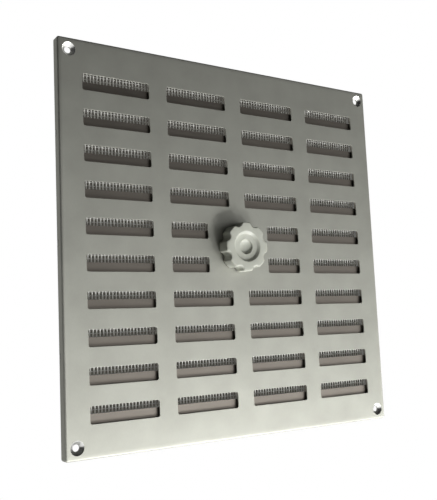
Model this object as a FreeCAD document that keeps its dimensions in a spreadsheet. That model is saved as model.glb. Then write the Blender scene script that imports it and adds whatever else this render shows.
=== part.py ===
import FreeCAD, Part
import math
import os
import Sketcher

# Adjustable vent grille: a folded aluminium face plate with rows of slots, a slotted shutter
# that slides up and down behind it on a clamp knob, and an insect mesh across the back.
# Frame: X to the right, Y into the wall, Z up. The origin is the centre of the four
# screw holes, in the middle of their straight lands. Lengths are in millimetres.

# Driving dimensions
SIZES = [
    ("plate_width", 242.0),
    ("plate_height", 242.0),
    ("plate_depth", 6.2),
    ("plate_sheet", 1.0),
    ("plate_corner", 2.4),
    ("plate_bend", 1.2),
    ("fold_gap", 0.4),
    ("screw_inset", 7.0),
    ("screw_hole", 4.0),
    ("screw_cone", 8.2),
    ("screw_land", 0.8),
    ("row_count", 10),
    ("short_rows", 2),
    ("row_margin", 19.7),
    ("rows_drop", 0.8),
    ("column_margin", 15.025),
    ("column_web", 12.25),
    ("slot_height", 10.0),
    ("slot_corner_bevel", 0.8),
    ("knob_field", 46.45),
    ("slit_height", 4.0),
    ("slit_width", 1.2),
    ("tab_rows_apart", 3),
    ("tab_height", 3.4),
    ("tab_stand_out", 0.15),
    ("shutter_sheet", 1.0),
    ("shutter_lift", 5.7),
    ("shutter_slot_relief", 0.2),
    ("shutter_slot_overrun", 1.0),
    ("shutter_top_margin", 5.0),
    ("shutter_bottom_margin", 11.0),
    ("shutter_side_clearance", 0.3),
    ("shutter_face_clearance", 0.15),
    ("shutter_corner_bevel", 0.8),
    ("notch_clearance", 0.4),
    ("guide_sheet", 0.9),
    ("guide_width", 8.9),
    ("guide_end_gap", 20.0),
    ("guide_side_clearance", 0.1),
    ("guide_bend", 0.5),
    ("strip_sheet", 0.5),
    ("strip_width", 10.5),
    ("strip_end_gap", 14.0),
    ("strip_side_clearance", 0.5),
    ("mesh_thickness", 0.9),
    ("mesh_wall", 0.4),
    ("mesh_edge_clearance", 0.2),
    ("mesh_corner_cut", 12.5),
    ("mesh_gap_count", 9),
    ("mesh_margin", 13.8),
    ("mesh_bar", 4.0),
    ("mesh_ridge", 1.2),
    ("stud_diameter", 5.0),
    ("stud_head", 7.8),
    ("stud_head_height", 0.6),
    ("stud_reach", 5.2),
    ("thread_clearance", 0.05),
    ("bush_neck", 7.4),
    ("bush_flange", 15.0),
    ("bush_slot_clearance", 0.3),
    ("bush_end_clearance", 0.1),
    ("control_slot_corner", 2.0),
    ("washer_diameter", 15.0),
    ("washer_thickness", 0.8),
    ("knob_diameter", 31.8),
    ("knob_thickness", 8.9),
    ("knob_lobes", 8),
    ("knob_notch_radius", 3.3),
    ("knob_notch_depth", 2.0),
    ("knob_lobe_bevel", 0.7),
    ("knob_front_bevel", 0.7),
    ("knob_back_bevel", 0.4),
    ("knob_recess_rim", 20.0),
    ("knob_recess_floor", 16.8),
    ("knob_recess_depth", 1.6),
    ("knob_dimple_rim", 9.4),
    ("knob_dimple_floor", 4.6),
    ("knob_dimple_depth", 1.4),
    ("knob_hub", 14.0),
    ("knob_wall", 2.0),
    ("knob_cavity_depth", 4.6),
    ("knob_rib", 1.4),
    ("knob_ribs", 4),
    ("nut_across_flats", 8.0),
    ("nut_height", 4.0),
    ("stud_tip_clearance", 0.4),
]

# Levels through the depth of the grille, from the front face to the wall
FACE_FRONT = "(-(Sizes.screw_cone - Sizes.screw_hole) / 2 - Sizes.screw_land / 2)"
FACE_REAR = f"({FACE_FRONT} + Sizes.plate_sheet)"
CONE_END = "(-Sizes.screw_land / 2)"
LAND_END = "(Sizes.screw_land / 2)"
RIM = f"({FACE_FRONT} + Sizes.plate_depth)"
GROOVE_FRONT = f"({FACE_REAR} + Sizes.guide_sheet)"
SHUTTER_FRONT = f"({GROOVE_FRONT} + Sizes.shutter_face_clearance)"
SHUTTER_REAR = f"({SHUTTER_FRONT} + Sizes.shutter_sheet)"
GROOVE_REAR = f"({SHUTTER_REAR} + Sizes.shutter_face_clearance)"
GUIDE_REAR = f"({GROOVE_REAR} + Sizes.guide_sheet)"
MESH_FRONT = f"({GUIDE_REAR} + Sizes.strip_sheet)"
MESH_REAR = f"({MESH_FRONT} + Sizes.mesh_thickness)"
STRIP_REAR = f"({MESH_REAR} + Sizes.strip_sheet)"
MESH_MIDDLE = f"(({MESH_FRONT} + {MESH_REAR}) / 2)"
KNOB_BACK = f"({FACE_FRONT} - Sizes.washer_thickness)"
KNOB_FRONT = f"({KNOB_BACK} - Sizes.knob_thickness)"
STUD_TIP = f"({FACE_FRONT} - Sizes.stud_reach)"

# Heights and widths that several pieces share
INSIDE_X = "(Sizes.plate_width / 2 - Sizes.plate_sheet)"
INSIDE_Z = "(Sizes.plate_height / 2 - Sizes.plate_sheet)"
SCREW_X = "(Sizes.plate_width / 2 - Sizes.screw_inset)"
SCREW_Z = "(Sizes.plate_height / 2 - Sizes.screw_inset)"
SLOT_WIDTH = "((Sizes.plate_width - 2 * Sizes.column_margin - 3 * Sizes.column_web) / 4)"
COLUMN_PITCH = f"({SLOT_WIDTH} + Sizes.column_web)"
SHORT_WIDTH = f"({COLUMN_PITCH} / 2 + {SLOT_WIDTH} / 2 - Sizes.knob_field / 2)"
ROW_PITCH = "((Sizes.plate_height - 2 * Sizes.row_margin - Sizes.slot_height) / (Sizes.row_count - 1))"
ROWS_Z = "(-Sizes.rows_drop)"
TRAVEL = f"({ROW_PITCH} / 2)"
SHUTTER_Z = f"({ROWS_Z} + Sizes.shutter_lift)"
KNOB_Z = f"({SHUTTER_Z} - {TRAVEL} / 2)"
LAST_ROW = f"((Sizes.row_count - 1) / 2 * {ROW_PITCH})"
TAB_STEP = f"(Sizes.tab_rows_apart * {ROW_PITCH})"
GUIDE_LENGTH = f"(2 * {INSIDE_Z} - 2 * Sizes.guide_end_gap)"
STRIP_LENGTH_X = f"(2 * {INSIDE_X} - 2 * Sizes.strip_end_gap)"
STRIP_LENGTH_Z = f"(2 * {INSIDE_Z} - 2 * Sizes.strip_end_gap)"
STRIP_OUTER_X = f"({INSIDE_X} - Sizes.strip_side_clearance)"
STRIP_OUTER_Z = f"({INSIDE_Z} - Sizes.strip_side_clearance)"
MESH_HALF_X = f"({STRIP_OUTER_X} - Sizes.strip_sheet - Sizes.mesh_edge_clearance)"
MESH_HALF_Z = f"({STRIP_OUTER_Z} - Sizes.strip_sheet - Sizes.mesh_edge_clearance)"

doc = FreeCAD.newDocument("vent_grille")
sheet = doc.addObject("Spreadsheet::Sheet", "Sizes")
for number, (alias, size) in enumerate(SIZES, start=1):
    sheet.set(f"A{number}", alias)
    sheet.set(f"B{number}", str(size))
    sheet.setAlias(f"B{number}", alias)
doc.recompute()


def worth(expression):
    """The value an expression has now, for a first guess that the solver then holds."""
    return float(sheet.evalExpression(expression))


def new_body(name):
    body = doc.addObject("PartDesign::Body", name)
    body.Label = name
    return body


def new_sketch(body, name, plane, across="0", up="0", out="0"):
    """A sketch on one of the body's own planes, with its origin moved in that plane and off it."""
    drawing = body.newObject("Sketcher::SketchObject", name)
    feature = next(item for item in body.Origin.OriginFeatures if item.Role == plane)
    drawing.AttachmentSupport = [(feature, "")]
    drawing.MapMode = "FlatFace"
    drawing.setExpression(".AttachmentOffset.Base.x", across)
    drawing.setExpression(".AttachmentOffset.Base.y", up)
    drawing.setExpression(".AttachmentOffset.Base.z", out)
    return drawing


def face_sketch(body, name, level, x="0", z="0"):
    """A sketch seen from the front, at a level through the depth: X across and Z up."""
    return new_sketch(body, name, "XZ_Plane", x, z, f"-{level}")


def turned_sketch(body, name, x="0", z="0"):
    """A half section for a turned piece: radius across, Y up, about an axis along Y."""
    return new_sketch(body, name, "XY_Plane", x, "0", z)


def hold(drawing, kind, *where_and_size):
    """Adds one dimension to a sketch and binds it to an expression."""
    *where, expression = where_and_size
    index = drawing.addConstraint(Sketcher.Constraint(kind, *where, worth(expression)))
    drawing.setExpression(f"Constraints[{index}]", expression)


def polygon(drawing, corners):
    """A closed outline through corners given as pairs of expressions."""
    points = [FreeCAD.Vector(worth(x), worth(y), 0) for x, y in corners]
    first = drawing.GeometryCount
    for start, end in zip(points, points[1:] + points[:1]):
        drawing.addGeometry(Part.LineSegment(start, end))
    for step, (x, y) in enumerate(corners):
        after = first + (step + 1) % len(corners)
        drawing.addConstraint(Sketcher.Constraint("Coincident", first + step, 2, after, 1))
        hold(drawing, "DistanceX", first + step, 1, x)
        hold(drawing, "DistanceY", first + step, 1, y)


def rectangle(drawing, width, height):
    """A rectangle centred on the sketch's origin."""
    polygon(drawing, [(f"-{width} / 2", f"-{height} / 2"), (f"{width} / 2", f"-{height} / 2"),
                      (f"{width} / 2", f"{height} / 2"), (f"-{width} / 2", f"{height} / 2")])


def rounded_rectangle(drawing, width, height, radius):
    """A rectangle with round corners, centred on the sketch's origin."""
    half_w, half_h, r = worth(width) / 2, worth(height) / 2, worth(radius)
    corners = [(half_w, -half_h), (half_w, half_h), (-half_w, half_h), (-half_w, -half_h)]
    inward = [(-1, 1), (-1, -1), (1, -1), (1, 1)]
    centres = [FreeCAD.Vector(x + r * i, y + r * j, 0) for (x, y), (i, j) in zip(corners, inward)]
    arcs = []
    for quarter, centre in enumerate(centres):
        begin = (quarter - 1) * math.pi / 2
        circle = Part.Circle(centre, FreeCAD.Vector(0, 0, 1), r)
        arcs.append(drawing.addGeometry(Part.ArcOfCircle(circle, begin, begin + math.pi / 2)))
    sides = []
    for quarter in range(4):
        start = drawing.Geometry[arcs[quarter - 1]].EndPoint
        end = drawing.Geometry[arcs[quarter]].StartPoint
        sides.append(drawing.addGeometry(Part.LineSegment(start, end)))
    for quarter in range(4):
        drawing.addConstraint(Sketcher.Constraint("Tangent", arcs[quarter - 1], 2, sides[quarter], 1))
        drawing.addConstraint(Sketcher.Constraint("Tangent", sides[quarter], 2, arcs[quarter], 1))
        level = "Horizontal" if quarter % 2 == 0 else "Vertical"
        drawing.addConstraint(Sketcher.Constraint(level, sides[quarter]))
    for arc in arcs[1:]:
        drawing.addConstraint(Sketcher.Constraint("Equal", arcs[0], arc))
    drawing.addConstraint(Sketcher.Constraint("Symmetric", arcs[0], 3, arcs[2], 3, -1, 1))
    hold(drawing, "Radius", arcs[0], radius)
    hold(drawing, "DistanceX", sides[3], 1, sides[1], 1, width)
    hold(drawing, "DistanceY", sides[0], 1, sides[2], 1, height)


def circle(drawing, diameter, x="0", y="0"):
    """A circle whose centre is given from the sketch's origin."""
    centre = FreeCAD.Vector(worth(x), worth(y), 0)
    ring = drawing.addGeometry(Part.Circle(centre, FreeCAD.Vector(0, 0, 1), worth(diameter) / 2))
    hold(drawing, "DistanceX", ring, 3, x)
    hold(drawing, "DistanceY", ring, 3, y)
    hold(drawing, "Diameter", ring, diameter)


def grown(body, feature):
    """Checks that a feature that adds has made its body's solid bigger."""
    doc.recompute()
    before = feature.BaseFeature.Shape.Volume if feature.BaseFeature else 0.0
    if feature.Shape.Volume <= before:
        raise RuntimeError(f"{feature.Label} in {body.Label} adds nothing")
    return feature


def shrunk(body, feature):
    """Checks that a feature that cuts has made its body's solid smaller."""
    doc.recompute()
    if feature.Shape.Volume >= feature.BaseFeature.Shape.Volume:
        raise RuntimeError(f"{feature.Label} in {body.Label} cuts nothing")
    return feature


def pad(body, name, drawing, length, towards_wall=False, both_ways=False):
    """Adds a sketch's outline as a solid, towards the wall or outwards."""
    feature = body.newObject("PartDesign::Pad", name)
    feature.Profile = drawing
    feature.SideType = "Symmetric" if both_ways else "One side"
    feature.Reversed = towards_wall
    feature.setExpression("Length", length)
    return grown(body, feature)


def pocket(body, name, drawing, length=None, from_wall=False, both_ways=False):
    """Cuts a sketch's outline to a depth, or right through if no length is given."""
    feature = body.newObject("PartDesign::Pocket", name)
    feature.Profile = drawing
    feature.SideType = "Symmetric" if both_ways else "One side"
    feature.Reversed = from_wall
    if length is None:
        feature.Type = "ThroughAll"
    else:
        feature.setExpression("Length", length)
    return shrunk(body, feature)


def turn(body, name, drawing, cut=False):
    """Turns a half section about the sketch's upright axis."""
    kind = "PartDesign::Groove" if cut else "PartDesign::Revolution"
    feature = body.newObject(kind, name)
    feature.Profile = drawing
    feature.ReferenceAxis = (drawing, ["V_Axis"])
    feature.Angle = 360
    return shrunk(body, feature) if cut else grown(body, feature)


def array(body, name, feature, drawing, across=None, up=None):
    """Repeats a feature along its sketch's two directions, each given as a count and a step."""
    pattern = body.newObject("PartDesign::LinearPattern", name)
    pattern.Originals = [feature]
    runs = [(axis, run) for axis, run in (("H_Axis", across), ("V_Axis", up)) if run]
    for ending, (axis, (count, step)) in zip(("", "2"), runs):
        setattr(pattern, f"Direction{ending}", (drawing, [axis]))
        setattr(pattern, f"Mode{ending}", "Extent")
        pattern.setExpression(f"Length{ending}", f"({count} - 1) * {step}")
        pattern.setExpression(f"Occurrences{ending}", count)
    body.Tip = pattern
    doc.recompute()
    return pattern


def around(body, name, feature, drawing, count):
    """Repeats a feature about the axis that stands on a sketch's origin."""
    pattern = body.newObject("PartDesign::PolarPattern", name)
    pattern.Originals = [feature]
    pattern.Axis = (drawing, ["N_Axis"])
    pattern.Angle = 360
    pattern.setExpression("Occurrences", count)
    body.Tip = pattern
    doc.recompute()
    return pattern


def corner_copies(body, name, features):
    """Repeats features at the four corners, mirrored left to right and top to bottom."""
    copies = body.newObject("PartDesign::MultiTransform", name)
    copies.Originals = features
    mirrors = []
    for plane in ("YZ_Plane", "XY_Plane"):
        mirror = body.newObject("PartDesign::Mirrored", f"{name}_{plane[:2].lower()}")
        mirror.MirrorPlane = (next(f for f in body.Origin.OriginFeatures if f.Role == plane), [""])
        mirrors.append(mirror)
    copies.Transformations = mirrors
    body.Tip = copies
    doc.recompute()
    return copies


def dress_edges(body, name, kind, size, wanted):
    """Rounds or bevels the edges of the body's present solid for which wanted(edge) is true."""
    base = body.Tip
    names = [f"Edge{n}" for n, edge in enumerate(base.Shape.Edges, start=1) if wanted(edge)]
    feature = body.newObject(f"PartDesign::{kind}", name)
    feature.Base = (base, names)
    feature.setExpression("Radius" if kind == "Fillet" else "Size", size)
    doc.recompute()
    return feature


def round_edges(body, name, radius, wanted):
    return dress_edges(body, name, "Fillet", radius, wanted)


def bevel_edges(body, name, size, wanted):
    return dress_edges(body, name, "Chamfer", size, wanted)


def at_level(level):
    """A test for edges that lie wholly at one level through the depth."""
    y = worth(level)
    return lambda edge: abs(edge.BoundBox.YMin - y) < 1e-4 and abs(edge.BoundBox.YMax - y) < 1e-4


def bevelled_rectangle(drawing, width, height, bevel):
    """A rectangle with its corners cut off at 45 degrees, centred on the sketch's origin."""
    x, y = f"{width} / 2", f"{height} / 2"
    polygon(drawing, [(f"{bevel} - {x}", f"-{y}"), (f"{x} - {bevel}", f"-{y}"), (x, f"{bevel} - {y}"),
                      (x, f"{y} - {bevel}"), (f"{x} - {bevel}", y), (f"{bevel} - {x}", y),
                      (f"-{x}", f"{y} - {bevel}"), (f"-{x}", f"{bevel} - {y}")])


def slot_rows(body, level, centre, slot_height, overrun="0", bevel=None):
    """Cuts the pattern of slots: whole rows outside, short ones beside the knob in the middle."""
    whole = f"({SLOT_WIDTH} + 2 * {overrun})"
    short = f"({SHORT_WIDTH} + 2 * {overrun})"
    short_x = f"({COLUMN_PITCH} / 2 + ({SLOT_WIDTH} - {SHORT_WIDTH}) / 2)"
    block = "((Sizes.row_count - Sizes.short_rows) / 2)"
    bottom = f"({centre} - {LAST_ROW})"
    middle = f"({centre} - (Sizes.short_rows - 1) / 2 * {ROW_PITCH})"
    upper = f"({centre} + (Sizes.short_rows + 1) / 2 * {ROW_PITCH})"
    groups = [
        ("outer", f"-1.5 * {COLUMN_PITCH}", bottom, whole, f"3 * {COLUMN_PITCH}", "Sizes.row_count"),
        ("lower", f"-0.5 * {COLUMN_PITCH}", bottom, whole, COLUMN_PITCH, block),
        ("upper", f"-0.5 * {COLUMN_PITCH}", upper, whole, COLUMN_PITCH, block),
        ("short", f"-{short_x}", middle, short, f"2 * {short_x}", "Sizes.short_rows"),
    ]
    for name, x, z, width, step, rows in groups:
        drawing = face_sketch(body, f"{body.Label}_{name}_slot_outline", level, x, z)
        if bevel:
            bevelled_rectangle(drawing, width, slot_height, bevel)
        else:
            rectangle(drawing, width, slot_height)
        slot = pocket(body, f"{body.Label}_{name}_slot", drawing)
        array(body, f"{body.Label}_{name}_slots", slot, drawing, ("2", step), (rows, ROW_PITCH))


def face_plate():
    """One folded sheet: a shallow tray, open at the back, with dished screw holes in its corners."""
    body = new_body("face_plate")
    outline = face_sketch(body, "plate_outline", FACE_FRONT)
    rounded_rectangle(outline, "Sizes.plate_width", "Sizes.plate_height", "Sizes.plate_corner")
    pad(body, "plate_block", outline, "Sizes.plate_depth", towards_wall=True)
    round_edges(body, "plate_folds", "Sizes.plate_bend", at_level(FACE_FRONT))
    inside = face_sketch(body, "tray_outline", RIM)
    rounded_rectangle(inside, f"2 * {INSIDE_X}", f"2 * {INSIDE_Z}", "(Sizes.plate_corner - Sizes.plate_sheet)")
    pocket(body, "tray", inside, "(Sizes.plate_depth - Sizes.plate_sheet)", from_wall=True)

    reach = "(Sizes.plate_corner + Sizes.plate_sheet)"
    joint = face_sketch(body, "fold_joint_outline", RIM, f"({INSIDE_X} - Sizes.plate_sheet)",
                        f"({INSIDE_Z} - Sizes.plate_sheet)")
    joint.AttachmentOffset = FreeCAD.Placement(joint.AttachmentOffset.Base,
                                               FreeCAD.Rotation(FreeCAD.Vector(0, 0, 1), 45))
    polygon(joint, [("0", "-Sizes.fold_gap / 2"), (f"2 * {reach}", "-Sizes.fold_gap / 2"),
                    (f"2 * {reach}", "Sizes.fold_gap / 2"), ("0", "Sizes.fold_gap / 2")])
    cut = pocket(body, "fold_joint", joint, "(Sizes.plate_depth - Sizes.plate_bend - Sizes.fold_gap)",
                 from_wall=True)
    corner_copies(body, "fold_joints", [cut])

    dish = turned_sketch(body, "dish_section", SCREW_X, SCREW_Z)
    polygon(dish, [("0", f"({FACE_FRONT} + {FACE_REAR}) / 2"),
                   (dish_radius(FACE_REAR), f"({FACE_FRONT} + {FACE_REAR}) / 2"),
                   (dish_radius(FACE_REAR), FACE_REAR), (dish_radius(LAND_END), LAND_END),
                   ("0", LAND_END)])
    dish_back = turn(body, "dish_back", dish)
    sink = turned_sketch(body, "sink_section", SCREW_X, SCREW_Z)
    polygon(sink, [("0", FACE_FRONT), ("Sizes.screw_cone / 2", FACE_FRONT), ("Sizes.screw_hole / 2", CONE_END),
                   ("Sizes.screw_hole / 2", LAND_END), ("0", LAND_END)])
    screw_sink = turn(body, "screw_sink", sink, cut=True)
    corner_copies(body, "screw_dishes", [dish_back, screw_sink])

    slot_rows(body, FACE_FRONT, ROWS_Z, "Sizes.slot_height", bevel="Sizes.slot_corner_bevel")
    control = face_sketch(body, "control_slot_outline", FACE_FRONT, "0", ROWS_Z)
    rounded_rectangle(control, "(Sizes.bush_neck + 2 * Sizes.bush_slot_clearance)",
                      f"({TRAVEL} + Sizes.bush_neck + 2 * Sizes.bush_slot_clearance)",
                      "Sizes.control_slot_corner")
    pocket(body, "control_slot", control)

    slit = new_sketch(body, "tab_slit_outline", "YZ_Plane", MESH_MIDDLE, f"-{TAB_STEP}")
    rectangle(slit, "Sizes.slit_width", "Sizes.slit_height")
    first = pocket(body, "tab_slit", slit, "(Sizes.plate_width + 2 * Sizes.plate_sheet)", both_ways=True)
    array(body, "tab_slits", first, slit, up=("3", TAB_STEP))
    return body


def dish_radius(level):
    """Outside radius of the dish round a screw hole, at a level through the depth."""
    return f"(Sizes.screw_cone / 2 - ({level} - {FACE_FRONT}) + Sizes.plate_sheet * sqrt(2))"


def shutter_plate():
    """The flat slotted sheet that opens and closes the slots, with its corners cut clear."""
    body = new_body("shutter_plate")
    slot_height = "(Sizes.slot_height + 2 * Sizes.shutter_slot_relief)"
    half = f"({INSIDE_X} - Sizes.guide_side_clearance - Sizes.guide_sheet - Sizes.shutter_side_clearance)"
    last_edge = f"({LAST_ROW} + {slot_height} / 2)"
    top = f"({SHUTTER_Z} + {last_edge} + Sizes.shutter_top_margin)"
    bottom = f"({SHUTTER_Z} - {last_edge} - Sizes.shutter_bottom_margin)"
    clear = f"({dish_radius(SHUTTER_FRONT)} + Sizes.notch_clearance)"
    cut_x = f"({SCREW_X} - {clear})"
    cut_top = f"({SCREW_Z} - {clear} - {TRAVEL} + Sizes.shutter_lift)"
    cut_bottom = f"(Sizes.shutter_lift - {SCREW_Z} + {clear})"
    outline = face_sketch(body, "shutter_outline", SHUTTER_FRONT)
    polygon(outline, [(f"-{half}", cut_bottom), (f"-{cut_x}", cut_bottom), (f"-{cut_x}", bottom),
                      (cut_x, bottom), (cut_x, cut_bottom), (half, cut_bottom),
                      (half, cut_top), (cut_x, cut_top), (cut_x, top),
                      (f"-{cut_x}", top), (f"-{cut_x}", cut_top), (f"-{half}", cut_top)])
    pad(body, "shutter_sheet", outline, "Sizes.shutter_sheet", towards_wall=True)
    bevel_edges(body, "shutter_corners", "Sizes.shutter_corner_bevel",
                lambda edge: edge.BoundBox.YLength > 1e-4)
    slot_rows(body, SHUTTER_FRONT, SHUTTER_Z, slot_height, "Sizes.shutter_slot_overrun")
    hole = turned_sketch(body, "stud_seat_section", "0", KNOB_Z)
    polygon(hole, [("0", SHUTTER_FRONT), ("Sizes.stud_diameter / 2", SHUTTER_FRONT),
                   ("Sizes.stud_diameter / 2", f"({SHUTTER_REAR} - Sizes.stud_head_height)"),
                   ("Sizes.stud_head / 2", f"({SHUTTER_REAR} - Sizes.stud_head_height)"),
                   ("Sizes.stud_head / 2", SHUTTER_REAR), ("0", SHUTTER_REAR)])
    turn(body, "stud_seat", hole, cut=True)
    return body


def side_guide(name, turned):
    """A folded channel that stands between the plate and the mesh and holds the shutter's edge."""
    body = new_body(name)
    outer = f"({INSIDE_X} - Sizes.guide_side_clearance)"
    inner = f"({outer} - Sizes.guide_width)"
    web = f"({outer} - Sizes.guide_sheet)"
    section = new_sketch(body, f"{name}_section", "XY_Plane")
    polygon(section, [(inner, FACE_REAR), (outer, FACE_REAR), (outer, GUIDE_REAR), (inner, GUIDE_REAR),
                      (inner, GROOVE_REAR), (web, GROOVE_REAR), (web, GROOVE_FRONT), (inner, GROOVE_FRONT)])
    pad(body, f"{name}_channel", section, GUIDE_LENGTH, both_ways=True)
    x, front, rear, half = worth(outer), worth(FACE_REAR), worth(GUIDE_REAR), worth(GUIDE_LENGTH) / 2
    round_edges(body, f"{name}_folds", "Sizes.guide_bend", lambda edge: edge.BoundBox.ZLength > half
                and abs(edge.BoundBox.XMin - x) < 1e-4
                and min(abs(edge.BoundBox.YMin - front), abs(edge.BoundBox.YMin - rear)) < 1e-4)
    if turned:
        body.Placement = FreeCAD.Placement(FreeCAD.Vector(), FreeCAD.Rotation(FreeCAD.Vector(0, 1, 0), 180))
    return body


def mesh_strip(name, plane, outer, length, with_tabs, turned):
    """A folded edging strip that grips one edge of the mesh; the side ones have locking tabs."""
    body = new_body(name)
    inner = f"({outer} - Sizes.strip_width)"
    web = f"({outer} - Sizes.strip_sheet)"
    section = new_sketch(body, f"{name}_section", plane)
    corners = [(inner, GUIDE_REAR), (outer, GUIDE_REAR), (outer, STRIP_REAR), (inner, STRIP_REAR),
               (inner, MESH_REAR), (web, MESH_REAR), (web, MESH_FRONT), (inner, MESH_FRONT)]
    if plane == "YZ_Plane":
        corners = [(depth, across) for across, depth in corners]
    polygon(section, corners)
    pad(body, f"{name}_fold", section, length, both_ways=True)
    if with_tabs:
        tab = face_sketch(body, f"{name}_tab_outline", MESH_FRONT, "0", f"-{TAB_STEP}")
        tip = "(Sizes.plate_width / 2 + Sizes.tab_stand_out)"
        polygon(tab, [(web, "-Sizes.tab_height / 2"), (tip, "-Sizes.tab_height / 2"),
                      (tip, "Sizes.tab_height / 2"), (web, "Sizes.tab_height / 2")])
        first = pad(body, f"{name}_tab", tab, "Sizes.mesh_thickness", towards_wall=True)
        array(body, f"{name}_tabs", first, tab, up=("3", TAB_STEP))
    if turned:
        body.Placement = FreeCAD.Placement(FreeCAD.Vector(), FreeCAD.Rotation(FreeCAD.Vector(0, 1, 0), 180))
    return body


def insect_mesh():
    """The woven screen as one wall with a grid of gaps, crossed by ridges on its two faces."""
    body = new_body("insect_mesh")
    wall_front = f"({MESH_MIDDLE} - Sizes.mesh_wall / 2)"
    wall_rear = f"({MESH_MIDDLE} + Sizes.mesh_wall / 2)"
    cut_x = f"({MESH_HALF_X} - Sizes.mesh_corner_cut)"
    cut_z = f"({MESH_HALF_Z} - Sizes.mesh_corner_cut)"
    outline = face_sketch(body, "mesh_outline", wall_front)
    polygon(outline, [(f"-{MESH_HALF_X}", f"-{cut_z}"), (f"-{cut_x}", f"-{cut_z}"),
                      (f"-{cut_x}", f"-{MESH_HALF_Z}"), (cut_x, f"-{MESH_HALF_Z}"),
                      (cut_x, f"-{cut_z}"), (MESH_HALF_X, f"-{cut_z}"), (MESH_HALF_X, cut_z),
                      (cut_x, cut_z), (cut_x, MESH_HALF_Z), (f"-{cut_x}", MESH_HALF_Z),
                      (f"-{cut_x}", cut_z), (f"-{MESH_HALF_X}", cut_z)])
    pad(body, "mesh_wall", outline, "Sizes.mesh_wall", towards_wall=True)
    reach_x = f"({MESH_HALF_X} - Sizes.mesh_margin)"
    reach_z = f"({MESH_HALF_Z} - Sizes.mesh_margin)"
    step_x = f"(2 * {reach_x} / Sizes.mesh_gap_count)"
    step_z = f"(2 * {reach_z} / Sizes.mesh_gap_count)"
    gap = face_sketch(body, "mesh_gap_outline", wall_front, f"({step_x} / 2 - {reach_x})",
                      f"({step_z} / 2 - {reach_z})")
    rectangle(gap, f"({step_x} - Sizes.mesh_bar)", f"({step_z} - Sizes.mesh_bar)")
    opening = pocket(body, "mesh_gap", gap)
    array(body, "mesh_gaps", opening, gap, ("Sizes.mesh_gap_count", step_x), ("Sizes.mesh_gap_count", step_z))
    relief = "((Sizes.mesh_thickness - Sizes.mesh_wall) / 2)"
    upright = face_sketch(body, "upright_ridge_outline", wall_front, f"-{reach_x}", "0")
    rectangle(upright, "Sizes.mesh_ridge", f"(2 * {cut_z})")
    ridge = pad(body, "upright_ridge", upright, relief)
    array(body, "upright_ridges", ridge, upright, across=("(Sizes.mesh_gap_count + 1)", step_x))
    level = face_sketch(body, "level_ridge_outline", wall_rear, "0", f"-{reach_z}")
    rectangle(level, f"(2 * {cut_x})", "Sizes.mesh_ridge")
    ridge = pad(body, "level_ridge", level, relief, towards_wall=True)
    array(body, "level_ridges", ridge, level, up=("(Sizes.mesh_gap_count + 1)", step_z))
    return body


def clamp_stud():
    """The threaded stud pressed into the shutter from behind, with a flat head."""
    body = new_body("clamp_stud")
    section = turned_sketch(body, "stud_section", "0", KNOB_Z)
    head_front = f"({SHUTTER_REAR} - Sizes.stud_head_height)"
    polygon(section, [("0", SHUTTER_REAR), ("Sizes.stud_head / 2", SHUTTER_REAR),
                      ("Sizes.stud_head / 2", head_front), ("Sizes.stud_diameter / 2", head_front),
                      ("Sizes.stud_diameter / 2", STUD_TIP), ("0", STUD_TIP)])
    turn(body, "stud", section)
    return body


def guide_bush():
    """The plastic bush on the stud: its neck runs in the control slot, its flange spaces the shutter."""
    body = new_body("guide_bush")
    section = turned_sketch(body, "bush_section", "0", KNOB_Z)
    bore = "(Sizes.stud_diameter / 2 + Sizes.thread_clearance)"
    neck_front = f"({FACE_FRONT} + Sizes.bush_end_clearance)"
    polygon(section, [(bore, neck_front), (bore, SHUTTER_FRONT), ("Sizes.bush_flange / 2", SHUTTER_FRONT),
                      ("Sizes.bush_flange / 2", FACE_REAR), ("Sizes.bush_neck / 2", FACE_REAR),
                      ("Sizes.bush_neck / 2", neck_front)])
    turn(body, "bush", section)
    return body


def front_washer():
    """The flat washer between the knob and the front of the plate."""
    body = new_body("front_washer")
    section = turned_sketch(body, "washer_section", "0", KNOB_Z)
    bore = "(Sizes.stud_diameter / 2 + Sizes.thread_clearance)"
    polygon(section, [(bore, KNOB_BACK), (bore, FACE_FRONT), ("Sizes.washer_diameter / 2", FACE_FRONT),
                      ("Sizes.washer_diameter / 2", KNOB_BACK)])
    turn(body, "washer", section)
    return body


def hexagon(drawing, across_flats):
    """A six-sided outline centred on the sketch's origin, with a flat at the top."""
    polygon(drawing, [(f"{across_flats} / sqrt(3) * cos({60 * k} deg)",
                       f"{across_flats} / sqrt(3) * sin({60 * k} deg)") for k in range(6)])


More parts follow.
